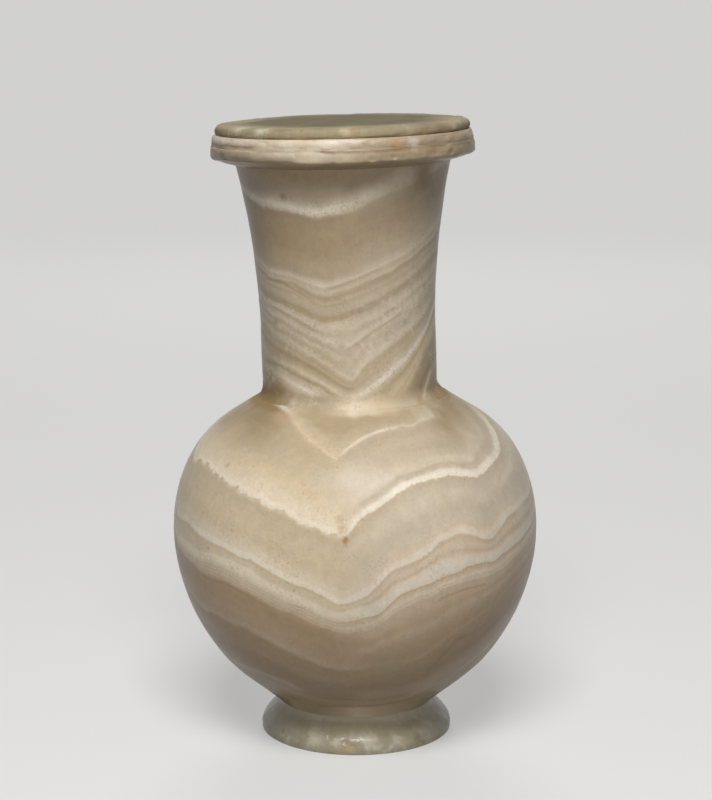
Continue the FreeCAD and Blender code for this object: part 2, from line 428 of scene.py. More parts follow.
def edge_heights(node, turned, edges, back_rise, spare_radius=None, open_height=None):
    """Each edge's height at every angle step round the piece, carried round the back above the limbs."""
    grid = np.arange(-180, 180, ANGLE_STEP)
    reach = math.ceil(4 * SMOOTHING / ANGLE_STEP)
    kernel = np.exp(-0.5 * (np.arange(-reach, reach + 1) * ANGLE_STEP / SMOOTHING) ** 2)
    kernel /= kernel.sum()
    rows = []
    for name, pixels in edges.items():
        angles, heights = np.array(sorted(seen_on(node, turned, pixel, spare_radius) for pixel in pixels)).T
        if name in OPEN_EDGES:
            angles = np.concatenate(([angles[0] - RUN_OUT], angles, [angles[-1] + RUN_OUT]))
            heights = np.concatenate(([open_height], heights, [open_height]))
        back = np.arange(angles[-1] + BACK_STEP, angles[0] + 360 - BACK_STEP, BACK_STEP)
        share = (back - angles[-1]) / (angles[0] + 360 - angles[-1])
        wobble = 0.12 * np.sin(2 * math.pi * share * 2 + 0.6) + 0.07 * np.sin(2 * math.pi * share * 5)
        climb = back_rise * np.sin(math.pi * share) * (1 + wobble)
        level = heights[-1] + (heights[0] - heights[-1]) * share
        all_angles = np.concatenate((angles, back))
        all_heights = np.concatenate((heights, level + climb))
        row = np.interp(grid, all_angles, all_heights, period=360)
        row = np.convolve(np.concatenate((row[-reach:], row, row[:reach])), kernel, "valid")
        if rows:
            row = np.minimum(row, rows[-1] - THINNEST_LAYER)
        rows.append(row)
    return grid, np.array(rows)


def put_layers(piece, node, turned, edges, back_rise, **options):
    """Stores each vertex's place in the stack of layers, and how fast they pass there, per millimetre."""
    grid, rows = edge_heights(node, turned, edges, back_rise, **options)
    _, angle, height = turned.polar(points_of(piece))
    here = np.array([np.interp(angle, grid, row, period=360) for row in rows])
    layer = (here[0] - height) / PLAIN_LAYER
    rate = np.full(len(height), 1 / PLAIN_LAYER)
    for i in range(len(here) - 1):
        inside = (height <= here[i]) & (height > here[i + 1])
        thick = here[i] - here[i + 1]
        layer[inside] = i + ((here[i] - height) / thick)[inside]
        rate[inside] = (1 / thick)[inside]
    below = height <= here[-1]
    layer[below] = (len(here) - 1 + (here[-1] - height) / PLAIN_LAYER)[below]
    put_number(piece, "layer", layer)
    put_number(piece, "layer_rate", rate * MM)


_, belly_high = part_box("belly")
bed_low, bed_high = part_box("neck_bedding")
foot_low, foot_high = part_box("foot")
BELLY_TURNED = TurnedFrame((0, 0, 0), (0, 0, 1))
NECK_TURNED = TurnedFrame(((bed_low.x + bed_high.x) / 2, 0, belly_high.z), frame["joints"][0]["axis"])
FOOT_TURNED = TurnedFrame(((foot_low.x + foot_high.x) / 2, 0, 0), (0, 0, 1))
NECK_BASE_RADIUS = bed_high.y

depsgraph = bpy.context.evaluated_depsgraph_get()
SURFACES = {node: BVHTree.FromObject(frame["nodes"][node], depsgraph) for node in ("belly", "neck")}

# The height of the rim's foot above the belly's seat, and how many millimetres its lower left is worn
RIM_FOOT = 91.3 * MM
RIM_WEAR = 1.2

# Outside the first radius the neck piece is the rim, and outside the second the rim's worn outer face
RIM_RADIUS = 43 * MM
RIM_FACE = 46 * MM

# Above this height, where it faces up, the rim carries the lid
SEAT_HEIGHT = 98 * MM

# The radius at which the lid's rounded edge starts
LID_EDGE = 47 * MM

# The worn groove round the rim, as it runs in the photographed view
RIM_GROOVE = [
    (217, 147), (245, 148), (264, 150.5), (287, 151.5), (306, 151), (333, 152.5), (360, 152.5),
    (374, 151.5), (393, 150), (407, 148.5), (428, 146.5), (451, 144.5), (470, 141.5),
]

# Small losses in the edges: pixel in the photographed view, radius and depth in millimetres
RIM_CHIPS = [
    ((395, 157), 1.3, 0.7), ((372, 160), 1.0, 0.35), ((452, 152), 1.6, 0.5), ((221, 158), 2.4, 0.6),
]
LID_CHIPS = [
    ((240, 128), 2.0, 0.35), ((262, 129.5), 2.2, 0.4), ((352, 130), 3.5, 0.25), ((452, 124), 2.0, 0.3),
]
FOOT_CHIPS = [
    ((285, 733), 2.2, 0.4), ((281, 728), 1.2, 0.35), ((345, 742), 1.2, 0.5), ((352, 748), 2.0, 0.4),
    ((418, 739), 1.5, 0.5), ((330, 738), 1.3, 0.3),
]

# Reach of the hollow curves in the corners where the neck stands on the belly and the belly on the foot
NECK_FILLET = 2.3 * MM
FOOT_FILLET = 1.6 * MM

# Radii at which the foot's curve starts, bends and ends, and how far above the foot it ends
FOOT_CURVE_RADII = (32.6 * MM, 30.5 * MM, 30.4 * MM)
FOOT_CURVE_RISE = 1.9 * MM

# How far under the belly's surface the neck's curve ends
FILLET_SINK = 0.45 * MM


def surface_point(pixel):
    """The point of the vase that the pixel of the photographed view shows."""
    hits = [tree.ray_cast(CAMERA_PLACE, photo_ray(pixel)) for tree in SURFACES.values()]
    nearest = min((hit for hit in hits if hit[0]), key=lambda hit: hit[3])
    return np.array(nearest[0])


def groove_height(angle):
    """The height of the rim's groove at each angle."""
    angles, heights = np.array(sorted(seen_on("neck", NECK_TURNED, pixel) for pixel in RIM_GROOVE)).T
    return np.interp(angle, angles, heights, period=360)


def chip_depth(points, chips):
    """How deep the chips go at each point, in millimetres."""
    depth = np.zeros(len(points))
    for pixel, radius, deep in chips:
        distance = np.linalg.norm(points - surface_point(pixel), axis=1) / (radius * MM)
        depth = np.maximum(depth, deep * smooth_step(1.0, 0.35, distance))
    return depth


def belly_relief(at):
    return waves(at.points, 0.22, (0.11, 60, 11), (0.05, 17, 12), (0.02, 5, 13)) * MM


def neck_relief(at):
    hand = waves(at.points, 0.2, (0.09, 45, 21), (0.04, 13, 22), (0.02, 5, 23))
    rim = (at.radius > RIM_RADIUS) * smooth_step(RIM_FOOT - MM, RIM_FOOT + MM, at.height)
    worn = waves(at.points, 0.22, (0.16, 9, 24), (0.09, 3.5, 25)) + chip_depth(at.points, RIM_CHIPS)
    groove = groove_height(at.angle) + 0.25 * MM * wave_field(at.points, 7 * MM, 26)
    worn += 0.24 * bump_at(groove, 0.95 * MM, at.height)
    worn += 0.6 * bump_at(RIM_FOOT, 1.1 * MM, at.height)
    left = smooth_step(-80, -68, at.angle) * smooth_step(-19, -25, at.angle)
    worn += left * RIM_WEAR * smooth_step(RIM_FOOT + 4 * MM, RIM_FOOT, at.height)
    seat = smooth_step(0.6, 0.95, at.normal_up) * (at.height > SEAT_HEIGHT)
    return (hand + rim * worn) * (1 - 0.9 * seat) * MM


def foot_relief(at):
    hand = waves(at.points, 0.15, (0.08, 25, 31), (0.05, 8, 32), (0.03, 3, 33))
    hand += 0.35 * bump_at(3.8 * MM, 1.3 * MM, at.height) * (at.normal_out > 0.3)
    hand += chip_depth(at.points, FOOT_CHIPS)
    return hand * MM * smooth_step(0.2 * MM, 1.2 * MM, at.height)


def lid_relief(at):
    hand = waves(at.points, 0.12, (0.06, 30, 41), (0.03, 9, 42)) + chip_depth(at.points, LID_CHIPS)
    edge = smooth_step(44 * MM, 47.5 * MM, at.radius)
    hand += edge * waves(at.points, 0.12, (0.12, 7, 43), (0.06, 3, 44))
    return hand * (1 - 0.9 * smooth_step(-0.6, -0.95, at.normal_up)) * MM


def shoulder_under(point):
    """The height at which the neck's curve ends under a point, just inside the belly's surface."""
    return SURFACES["belly"].ray_cast(Vector(point), Vector((0, 0, -1)))[0].z - FILLET_SINK


def fill_neck_corner(piece):
    """Spreads the neck's foot in a small hollow curve, down onto the belly's shoulder."""
    points = points_of(piece)
    radius, angle, _ = NECK_TURNED.polar(points)
    height = points[:, 2]
    reach = NECK_FILLET * (1 + 1.1 * smooth_step(20, 95, angle) * smooth_step(175, 110, angle))
    reach = reach * waves(points, 1, (0.12, 12, 51))
    wall = radius > NECK_BASE_RADIUS - 0.8 * MM
    bottom = height[wall].min()
    for i in np.nonzero(wall & (height < bottom + reach))[0]:
        outward = np.array((math.sin(math.radians(angle[i])), -math.cos(math.radians(angle[i])), 0))
        above = points[i] + outward * reach[i] + (0, 0, 20 * MM)
        toe = shoulder_under(above)
        slope = (shoulder_under(above + outward * MM) - toe) / MM
        share = min(1, (bottom + reach[i] - height[i]) / (reach[i] - 0.1 * MM))
        turn = math.pi / 2 * share
        out = reach[i] * (1 - math.cos(turn))
        rise = bottom + reach[i] - toe + slope * reach[i]
        points[i] += outward * out
        points[i][2] = toe + slope * (out - reach[i]) + rise * (1 - math.sin(turn))
    move_points(piece, points)


def fill_foot_corner(piece):
    """Draws the foot's upper edge up in a small hollow curve against the belly."""
    points = points_of(piece)
    radius, angle, height = FOOT_TURNED.polar(points)
    top = foot_high.z
    start = top - FOOT_FILLET
    cone = (radius > FOOT_CURVE_RADII[-1]) & (height > start)
    share = np.clip((height[cone] - start) / (FOOT_FILLET - 0.3 * MM), 0, 1)[:, None]
    levels = (start, top + 0.1 * MM, top + FOOT_CURVE_RISE)
    begin, corner, end = np.column_stack((FOOT_CURVE_RADII, levels))
    curve = begin * (1 - share) ** 2 + corner * 2 * share * (1 - share) + end * share**2
    points[cone] = FOOT_TURNED.place(curve[:, 0], angle[cone], curve[:, 1])
    move_points(piece, points)


for node in ("foot", "lid"):
    SURFACES[node] = BVHTree.FromObject(frame["nodes"][node], depsgraph)
belly = turned_mesh("belly_stone", "belly", BELLY_TURNED, 448, 1.0 * MM, belly_relief)
neck = turned_mesh("neck_stone", "neck", NECK_TURNED, 360, 0.7 * MM, neck_relief, level_height=25 * MM)
foot = turned_mesh("foot_stone_piece", "foot", FOOT_TURNED, 300, 0.6 * MM, foot_relief)
lid = turned_mesh("lid_stone_piece", "lid", NECK_TURNED, 320, 0.8 * MM, lid_relief)
fill_neck_corner(neck)
fill_foot_corner(foot)

put_layers(belly, "belly", BELLY_TURNED, BELLY_EDGES, BELLY_BACK_RISE, open_height=belly_high.z + 12 * MM)
put_layers(neck, "neck", NECK_TURNED, NECK_EDGES, NECK_BACK_RISE, spare_radius=NECK_BASE_RADIUS)

# Single veins and cracks: half width in millimetres, strength, and pixels of the photographed view
BELLY_WHITE_VEINS = [
    (1.3, 0.75, [(270, 398), (279, 404), (287, 410), (294, 416)]),
    (1.3, 0.2, [(422, 404), (425, 408), (429, 412), (433, 417)]),
    (0.9, 0.6, [(341, 457), (345, 450.5), (355, 442.8), (365, 436.8), (378, 431.3), (402, 425.5)]),
    (1.4, 0.35, [(510, 452), (512, 466), (505, 478), (499, 488)]),
    (1.9, 0.3, [(228, 657), (259, 672), (285, 682), (306, 694)]),
]
BELLY_DARK_VEINS = [
    (1.2, 0.3, [(424, 675), (445, 654), (458, 639), (477, 633)]),
    (0.6, 0.45, [(302, 691), (320, 698), (348, 700), (383, 699.5), (418, 691)]),
    (0.6, 0.4, [(288, 690), (306, 700), (323, 706), (348, 707.5), (384, 705), (410, 699)]),
    (0.7, 0.3, [(190, 566), (206, 578), (226, 584), (246, 595), (265, 606), (281, 615)]),
    (0.6, 0.3, [(430, 606), (447, 596), (466, 589), (490, 583)]),
]
NECK_WHITE_VEINS = [
    (1.1, 0.45, [(432, 366), (429, 378), (426, 388), (422.5, 402)]),
]
NECK_DARK_VEINS = [
    (0.7, 0.3, [(322, 291), (325, 290), (350, 282), (385, 266)]),
    (0.6, 0.3, [(262, 277), (280, 281), (300, 293), (320, 305)]),
    (0.7, 0.3, [(266, 303), (281, 311), (297, 320), (312, 329), (330, 336)]),
    (0.7, 0.3, [(340, 354), (354, 346), (374, 331), (392, 320), (408, 308)]),
]


def put_veins(piece, name, veins):
    """Stores each vertex's signed distance to the nearest vein, in half widths, and the vein's strength."""
    points = points_of(piece)
    nearest = np.full(len(points), 9.0)
    strength = np.zeros(len(points))
    for half_width, most, pixels in veins:
        line = np.array([surface_point(pixel) for pixel in pixels])
        run = np.concatenate(([0], np.cumsum(np.linalg.norm(np.diff(line, axis=0), axis=1))))
        spread = run[-1] + 12 * MM
        close = np.nonzero(np.linalg.norm(points - line.mean(0), axis=1) < spread)[0]
        for k in range(len(line) - 1):
            way = line[k + 1] - line[k]
            left = np.cross(line[k] * (1, 1, 0), way)
            away = points[close] - line[k]
            t = np.clip(away @ way / (way @ way), 0, 1)
            gap = away - t[:, None] * way
            distance = np.linalg.norm(gap, axis=1) / (half_width * MM)
            distance = distance * np.where(gap @ left < 0, -1, 1)
            along = (run[k] + t * (run[k + 1] - run[k])) / run[-1]
            better = np.abs(distance) < np.abs(nearest[close])
            here = close[better]
            nearest[here] = distance[better]
            strength[here] = (most * smooth_step(0, 0.2, along) * smooth_step(1, 0.8, along))[better]
    put_number(piece, name, nearest)
    put_number(piece, name + "_strength", strength)


def put_lid_zones():
    """Stores the lid's top face inside its rounded edge, painted darker as painted shade, and a painted
    contact shadow along its lower edge.
    """
    points = points_of(lid)
    radius, _, height = NECK_TURNED.polar(points)
    inside = smooth_step(LID_EDGE, 30 * MM, radius + 1.5 * MM * wave_field(points, 26 * MM, 71))
    # The top face is painted darker than the lid's stone: painted shade
    put_number(lid, "top", inside * (height > height.max() - 1.5 * MM))
    seat = height[radius > LID_EDGE].min()
    # A painted contact shadow along the lid's lower edge, where it sits on the rim
    put_number(lid, "grime_and_shade", 0.6 * smooth_step(seat + 0.9 * MM, seat + 0.1 * MM, height))


def put_joint(piece):
    """Stores how close each vertex is to where the neck stands on the belly, 1 at that line."""
    points = points_of(piece)
    radius, _, _ = NECK_TURNED.polar(points)
    out = np.maximum(radius - NECK_BASE_RADIUS - NECK_FILLET, 0)
    up = np.maximum(points[:, 2] - belly_high.z - NECK_FILLET, 0)
    distance = np.hypot(out, up) + 0.8 * MM * wave_field(points, 9 * MM, 81)
    put_number(piece, "joint", smooth_step(4.2 * MM, 0.3 * MM, distance))
    # near_joint carries the painted shade beside the neck
    put_number(piece, "near_joint", smooth_step(26 * MM, 2 * MM, distance))


def put_rim_grime():
    """Stores where brown dirt sits on the neck piece, in the rim's groove and chips."""
    points = points_of(neck)
    radius, angle, height = NECK_TURNED.polar(points)
    rim = (radius > RIM_FACE) * (height > RIM_FOOT)
    line = bump_at(groove_height(angle), 0.95 * MM, height) * rim
    patchy = np.clip(waves(points, 0.72, (0.22, 10, 61)), 0.5, 1)
    put_number(neck, "grime_and_shade", np.clip(line * patchy + chip_depth(points, RIM_CHIPS), 0, 1))


put_lid_zones()
put_rim_grime()
for piece, white_veins, dark_veins in (
    (belly, BELLY_WHITE_VEINS, BELLY_DARK_VEINS),
    (neck, NECK_WHITE_VEINS, NECK_DARK_VEINS),
):
    put_joint(piece)
    put_veins(piece, "white_vein", white_veins)
    put_veins(piece, "dark_vein", dark_veins)

# The most stops put in one ramp node, which takes 32
RAMP_STOPS = 30


class Field:
    """A number or colour that varies over a surface, made by shader nodes."""

    def __init__(self, shader, socket):
        self.shader = shader
        self.socket = socket

    def __add__(self, other):
        return self.shader.math("ADD", self, other)

    def __sub__(self, other):
        return self.shader.math("SUBTRACT", self, other)

    def __rsub__(self, other):
        return self.shader.math("SUBTRACT", other, self)

    def __mul__(self, other):
        return self.shader.math("MULTIPLY", self, other)

    def __truediv__(self, other):
        return self.shader.math("DIVIDE", self, other)

    __radd__ = __add__
    __rmul__ = __mul__

    def rises(self, low, high, start=0, end=1):
        """0 below low and 1 above high, or start and end, smooth in between."""
        inputs = {"Value": self, "From Min": low, "From Max": high, "To Min": start, "To Max": end}
        return self.shader.make("ShaderNodeMapRange", inputs, interpolation_type="SMOOTHSTEP")

    def falls(self, low, high):
        """1 below low and 0 above high, smooth in between."""
        return self.rises(low, high, 1, 0)


class Shader:
    """A material or world under construction, with positions in millimetres."""

    def __init__(self, name, kind="materials", surface="Principled BSDF"):
        self.block = getattr(bpy.data, kind).new(name)
        self.block.use_nodes = True
        self.tree = self.block.node_tree
        self.surface = self.tree.nodes[surface]

    def feed(self, socket, value):
        if isinstance(value, Field):
            self.tree.links.new(value.socket, socket)
        else:
            socket.default_value = value

    def make(self, kind, inputs, output=0, **settings):
        """A new node with these inputs and settings, as the field of one of its outputs."""
        made = self.tree.nodes.new(kind)
        for name, value in settings.items():
            setattr(made, name, value)
        for name, value in inputs.items():
            self.feed(made.inputs[name], value)
        return Field(self, made.outputs[output])

    def math(self, operation, a, b=0.0):
        return self.make("ShaderNodeMath", {0: a, 1: b}, operation=operation)

    def vector(self, operation, a, b=(0, 0, 0), output="Vector"):
        second = "Scale" if operation == "SCALE" else 1
        return self.make("ShaderNodeVectorMath", {0: a, second: b}, output, operation=operation)

    def parts(self, kind, value):
        """The parts into which that kind of node splits a place or a colour."""
        made = self.make(kind, {0: value}).socket.node
        return [Field(self, output) for output in made.outputs]

    @cached_property
    def place(self):
        """The place on the object, in millimetres."""
        return self.vector("SCALE", self.make("ShaderNodeTexCoord", {}, "Object"), 1 / MM)

    @cached_property
    def axes(self):
        """The place's x, y and z."""
        return self.parts("ShaderNodeSeparateXYZ", self.place)

    def moved(self, place, shift):
        """The place moved along a slant, so that two patterns of one size differ."""
        if not shift:
            return place or self.place
        return self.vector("ADD", place or self.place, (37.0 * shift, 23.0 * shift, 11.0 * shift))

    def stretched(self, up):
        """The place with its heights multiplied, for patterns that are longer or shorter upwards."""
        return self.vector("MULTIPLY", self.place, (1.0, 1.0, up))

    def noise(self, size, shift=0, detail=3, roughness=0.6, place=None, distortion=0):
        """Smooth noise from 0 to 1, with features about size millimetres wide."""
        inputs = {
            "Vector": self.moved(place, shift), "Scale": 1 / size, "Detail": detail,
            "Roughness": roughness, "Distortion": distortion,
        }
        return self.make("ShaderNodeTexNoise", inputs)

    def cells(self, size, place=None, shift=0):
        """Distance to scattered points about size millimetres apart."""
        inputs = {"Vector": self.moved(place, shift), "Scale": 1 / size}
        return self.make("ShaderNodeTexVoronoi", inputs, "Distance")

    def specks(self, size, share, radius, shift):
        """Round specks in a share of the cells, 1 in the middle of a speck."""
        distance = self.cells(size, shift=shift)
        colour = Field(self, distance.socket.node.outputs["Color"])
        chance, width, _ = self.parts("ShaderNodeSeparateColor", colour)
        chosen = chance.falls(share, share + 0.02)
        return chosen * (distance / (width * 0.6 + 0.4)).falls(0.3 * radius / size, radius / size)

    def attribute(self, name):
        return self.make("ShaderNodeAttribute", {}, "Fac", attribute_name=name)

    def mix(self, share, a, b, blend="MIX"):
        """Colour a where the share is 0 and colour b where it is 1."""
        return self.make("ShaderNodeMix", {0: share, 6: a, 7: b}, 2, data_type="RGBA", blend_type=blend)

    def ramp(self, value, stops):
        """A colour ramp over the value, which goes on in another one past RAMP_STOPS stops."""
        places = list(stops)
        first, rest = places[:RAMP_STOPS], places[RAMP_STOPS - 1 :]
        low, high = first[0], first[-1]
        band = self.make("ShaderNodeValToRGB", {0: (value - low) / (high - low)})
        points = band.socket.node.color_ramp.elements
        while len(points) < len(first):
            points.new(0.5)
        for point, place in zip(points, first):
            point.position = (place - low) / (high - low)
            point.color = stops[place]
        if len(rest) < 2:
            return band
        onward = self.ramp(value, {place: stops[place] for place in rest})
        return self.mix(self.math("GREATER_THAN", value, high), band, onward)

    def patch(self, centre, radius, rag):
        """A patch round a point, 1 in its middle, broken up towards its edge by rag, a fine noise."""
        distance = self.vector("DISTANCE", self.place, centre, "Value")
        return (distance + (rag - 0.5) * min(2.2 * radius, 7.0)).falls(0.0, radius)

    def relief(self, height, depth):
        """The surface's normal, as tilted by a relief of that depth in metres."""
        return self.make("ShaderNodeBump", {"Height": height, "Distance": depth}, "Normal")

    def cover(self, **inputs):
        """Joins fields and values to the surface's inputs, named with underscores for their spaces."""
        for name, value in inputs.items():
            self.feed(self.surface.inputs[name.replace("_", " ")], value)
        return self.block


def tone(red, green, blue):
    """A colour given as 0 to 255 screen values, as the linear colour that the shader takes."""
    shares = (red / 255, green / 255, blue / 255)
    return (*(((c + 0.055) / 1.055) ** 2.4 for c in shares), 1.0)


# Yellowish stone, from light to dark
MILK = tone(240, 225, 199)
IVORY = tone(229, 213, 187)
CREAM = tone(221, 204, 174)
STRAW = tone(213, 194, 163)
SAND = tone(204, 186, 156)
REED = tone(196, 179, 151)
OLIVE = tone(188, 171, 141)
MOSS = tone(179, 161, 131)
UMBER = tone(170, 150, 121)
EARTH = tone(158, 138, 107)

# Rosy stone
SHELL = tone(229, 211, 187)
BLUSH = tone(218, 200, 175)
ROSE = tone(207, 186, 159)
FAWN = tone(197, 172, 142)
DUSK = tone(188, 163, 131)
CLAY = tone(180, 154, 122)
BRICK = tone(170, 143, 111)

# Greyish stone
CHALK = tone(238, 228, 208)
FROST = tone(230, 218, 199)
PEARL = tone(211, 197, 175)
ASH = tone(203, 188, 165)
LINEN = tone(196, 180, 156)
FLAX = tone(189, 172, 148)
DRAB = tone(181, 163, 139)
TAUPE = tone(170, 151, 126)

# Dirt, stains and veins. The bronze is painted shade beside the neck, over somewhat darker stone
RUST = tone(152, 100, 56)
OCHRE = tone(196, 150, 92)
PINKISH = tone(196, 160, 126)
SHADED_BRONZE = tone(150, 127, 89)
# The sepia also paints the lid's contact shadow
SEPIA = tone(142, 118, 90)
COCOA = tone(112, 90, 66)
VEIN_WHITE = tone(238, 226, 204)
VEIN_BROWN = tone(146, 118, 90)

# Colours through the stack of layers: the layer number, then its colour
BELLY_LEFT = {
    -1: SAND, -0.1: SAND, 0: MOSS, 0.4: MOSS, 0.6: REED, 0.85: SAND, 0.96: STRAW, 1.05: OLIVE, 1.2: OLIVE,
    1.45: REED, 1.75: STRAW, 2.05: IVORY, 2.4: IVORY, 2.75: MILK, 2.97: FROST, 3.03: STRAW, 3.09: REED,
    3.5: STRAW, 3.7: STRAW, 3.85: CREAM, 3.95: IVORY, 4.05: SHELL, 4.3: MILK, 4.75: CHALK, 4.93: MILK,
    5.02: CREAM, 5.15: STRAW, 5.5: CREAM, 5.75: CREAM, 5.97: SHELL, 6.1: MILK, 6.5: MILK, 6.95: CREAM,
    6.99: ROSE, 7.04: BLUSH, 7.2: CREAM, 7.3: ROSE, 7.38: CREAM, 7.72: ROSE, 7.8: STRAW, 7.95: FAWN,
    8.04: DUSK, 8.2: CLAY, 8.75: FAWN, 8.93: ROSE, 8.99: FAWN, 9.04: CLAY, 9.3: DUSK, 9.5: BRICK,
    9.7: BRICK, 9.85: CLAY, 9.97: FAWN, 10.08: DUSK, 10.45: CLAY, 11: FAWN, 11.06: CLAY, 11.4: FAWN,
    12: CLAY, 12.6: ROSE, 12.8: DUSK, 13.5: CLAY, 14.2: FAWN, 15: CLAY,
}
BELLY_RIGHT = {
    -1: SAND, -0.1: ASH, 0: MOSS, 0.2: MOSS, 0.45: DRAB, 0.7: OLIVE, 0.9: LINEN, 0.955: ASH, 0.985: PEARL,
    1.02: LINEN, 1.1: FLAX, 1.3: LINEN, 1.5: LINEN, 1.68: ASH, 1.76: PEARL, 1.86: PEARL, 1.92: LINEN,
    2.3: FROST, 2.5: CHALK, 2.85: CHALK, 2.94: FROST, 2.99: ROSE, 3.03: LINEN, 3.3: PEARL, 3.6: ASH,
    3.8: PEARL, 3.93: BLUSH, 4.1: SHELL, 4.5: FROST, 4.9: FROST, 5.02: BLUSH, 5.12: ROSE, 5.4: BLUSH,
    5.6: BLUSH, 5.75: ROSE, 6.05: SHELL, 6.35: FROST, 6.75: FROST, 6.93: SHELL, 6.99: ROSE, 7.03: FAWN,
    7.1: ROSE, 7.55: SHELL, 7.65: BLUSH, 7.9: BLUSH, 8: ROSE, 8.1: ROSE, 8.35: FAWN, 8.45: ROSE, 8.6: FAWN,
    8.88: DUSK, 8.96: FAWN, 9.02: DUSK, 9.5: BRICK, 9.72: DUSK, 9.95: FAWN, 10.02: ROSE, 10.1: DUSK,
    10.6: DUSK, 10.98: FAWN, 11.05: CLAY, 11.6: FAWN, 12: CLAY, 12.5: ROSE, 12.7: DUSK, 13.5: CLAY,
    14.2: FAWN, 15: CLAY,
}
NECK_LEFT = {
    -2.5: SAND, -2.1: PEARL, -1.85: PEARL, -1.3: UMBER, -0.9: UMBER, -0.65: MOSS, -0.4: DRAB, -0.2: DRAB,
    0: FLAX, 0.3: PEARL, 0.45: FROST, 0.62: FROST, 0.8: PEARL, 0.9: FLAX, 1: UMBER, 1.55: UMBER, 1.75: MOSS,
    1.93: DRAB, 2.02: ASH, 2.2: PEARL, 2.5: LINEN, 2.7: ASH, 3.03: MOSS, 3.3: LINEN, 3.43: OLIVE,
    3.6: LINEN, 3.8: LINEN, 4.1: MOSS, 4.6: MOSS, 4.82: OLIVE, 5.12: PEARL, 5.3: LINEN, 5.45: PEARL,
    5.6: FLAX, 5.75: ASH, 5.9: OLIVE, 6.1: LINEN, 6.5: ASH, 6.85: LINEN, 7.2: MOSS, 7.35: OLIVE, 7.6: UMBER,
    7.9: OLIVE, 8.35: PEARL, 8.65: ASH, 8.84: OLIVE, 8.96: MOSS, 9.06: MOSS, 9.2: ASH, 9.4: PEARL,
    9.6: FROST, 9.85: PEARL, 10: ASH, 10.15: MOSS, 10.4: UMBER, 10.8: UMBER, 11.2: EARTH, 12: OLIVE,
    13: MOSS,
}
NECK_RIGHT = {
    -2.5: SAND, -2.1: PEARL, -1.6: DRAB, -1.3: DRAB, -1: TAUPE, -0.5: UMBER, -0.15: TAUPE, 0.35: ASH,
    0.6: PEARL, 0.85: ASH, 1.02: DRAB, 1.15: TAUPE, 1.4: TAUPE, 1.85: FLAX, 2.08: PEARL, 2.3: LINEN,
    2.52: ASH, 2.66: ASH, 2.78: DRAB, 2.92: DRAB, 3.2: LINEN, 3.35: FLAX, 3.72: ASH, 3.9: LINEN, 4.05: DRAB,
    4.7: DRAB, 4.95: FLAX, 5.2: PEARL, 5.32: LINEN, 5.45: PEARL, 5.8: LINEN, 6.2: PEARL, 6.5: PEARL,
    6.86: FLAX, 7.1: OLIVE, 7.4: REED, 7.7: LINEN, 7.95: ASH, 8.2: PEARL, 8.35: FROST, 8.6: FROST,
    8.8: PEARL, 8.98: SAND, 9.14: OLIVE, 9.35: SAND, 9.55: STRAW, 9.75: SAND, 9.95: STRAW, 10.08: SAND,
    10.18: OLIVE, 10.35: MOSS, 10.8: UMBER, 11.1: EARTH, 11.4: MOSS, 11.6: MOSS, 11.8: EARTH, 12.5: MOSS,
    14: OLIVE,
}

# Colours along the foot of the neck: millimetres to the right of the axis, then the colour. The bronze at
# both ends is painted shade in the corners beside the neck
JOINT_COLOURS = {
    -38: SHADED_BRONZE, -30: SHADED_BRONZE, -26: MOSS, -23: SAND, -20: OLIVE, -14: MOSS, -8: REED, -4: STRAW, 0: IVORY,
    9: STRAW, 22: REED, 25: MOSS, 29: OLIVE, 32: OLIVE, 36: SHADED_BRONZE, 38: SHADED_BRONZE,
}


def bands(stone, ramps, side_shift, lobes, lobed):
    """The colour of the layers from a left and a right ramp, with lobes at the left of the lobed layers."""
    layer = stone.attribute("layer")
    rate = stone.attribute("layer_rate")
    side = (stone.axes[0] + (stone.noise(10, 5, 3, 0.5) - 0.5) * 22 - side_shift).rises(-10, 10)
    start, end = lobed
    lumpy = layer.rises(start, start + 0.8) * layer.falls(end, end + 0.8) * (1 - side) + 0.3
    cell = stone.cells(4.6, place=stone.stretched(0.8))
    small_cell = stone.cells(2.2, shift=3)
    lobe = cell * cell + small_cell * small_cell * 0.5 - 0.35
    drift = (stone.noise(9, 1, 2, 0.5) - 0.5) * 1.6
    fray = (stone.noise(1.3, 2, 4, 0.65) - 0.5) * 1.1
    bent = layer + rate * (lobe * lumpy * lobes + drift + fray)
    left, right = (stone.ramp(bent, stops) for stops in ramps)
    inputs = {"W": bent, "Scale": 6, "Detail": 3}
    laminae = stone.make("ShaderNodeTexNoise", inputs, noise_dimensions="1D")
    return stone.mix(side, left, right), laminae - 0.5


def peppered(stone, colour, strength, whites):
    """Clusters of fine brown grains, and below the first layers soft white ones."""
    brown_zone = stone.noise(13, 41).rises(0.42, 0.66)
    brown = stone.noise(1.1, 42, 4, 0.75).rises(0.5, 0.68)
    colour = stone.mix(brown * brown_zone * strength, colour, UMBER)
    white_zone = stone.noise(12, 43).rises(0.48, 0.66)
    white = stone.noise(2.6, 44, 4, 0.7).rises(0.45, 0.75)
    banded = stone.attribute("layer").rises(3.8, 4.8)
    return stone.mix(white * white_zone * banded * whites, colour, FROST)


def joined(stone, colour):
    """One colour on both stones along the line where the neck stands on the belly, with painted shade in
    bronze at the sides beside the neck.
    """
    across = stone.axes[0] + (stone.noise(5, 51) - 0.5) * 8
    colour = stone.mix(stone.attribute("joint"), colour, stone.ramp(across, JOINT_COLOURS))
    # Painted shade: the shoulder darkens to bronze on both sides of the neck
    sides = stone.math("MAXIMUM", across.falls(-36, -22), across.rises(24, 36))
    return stone.mix(sides * stone.attribute("near_joint") * 0.92, colour, SHADED_BRONZE)


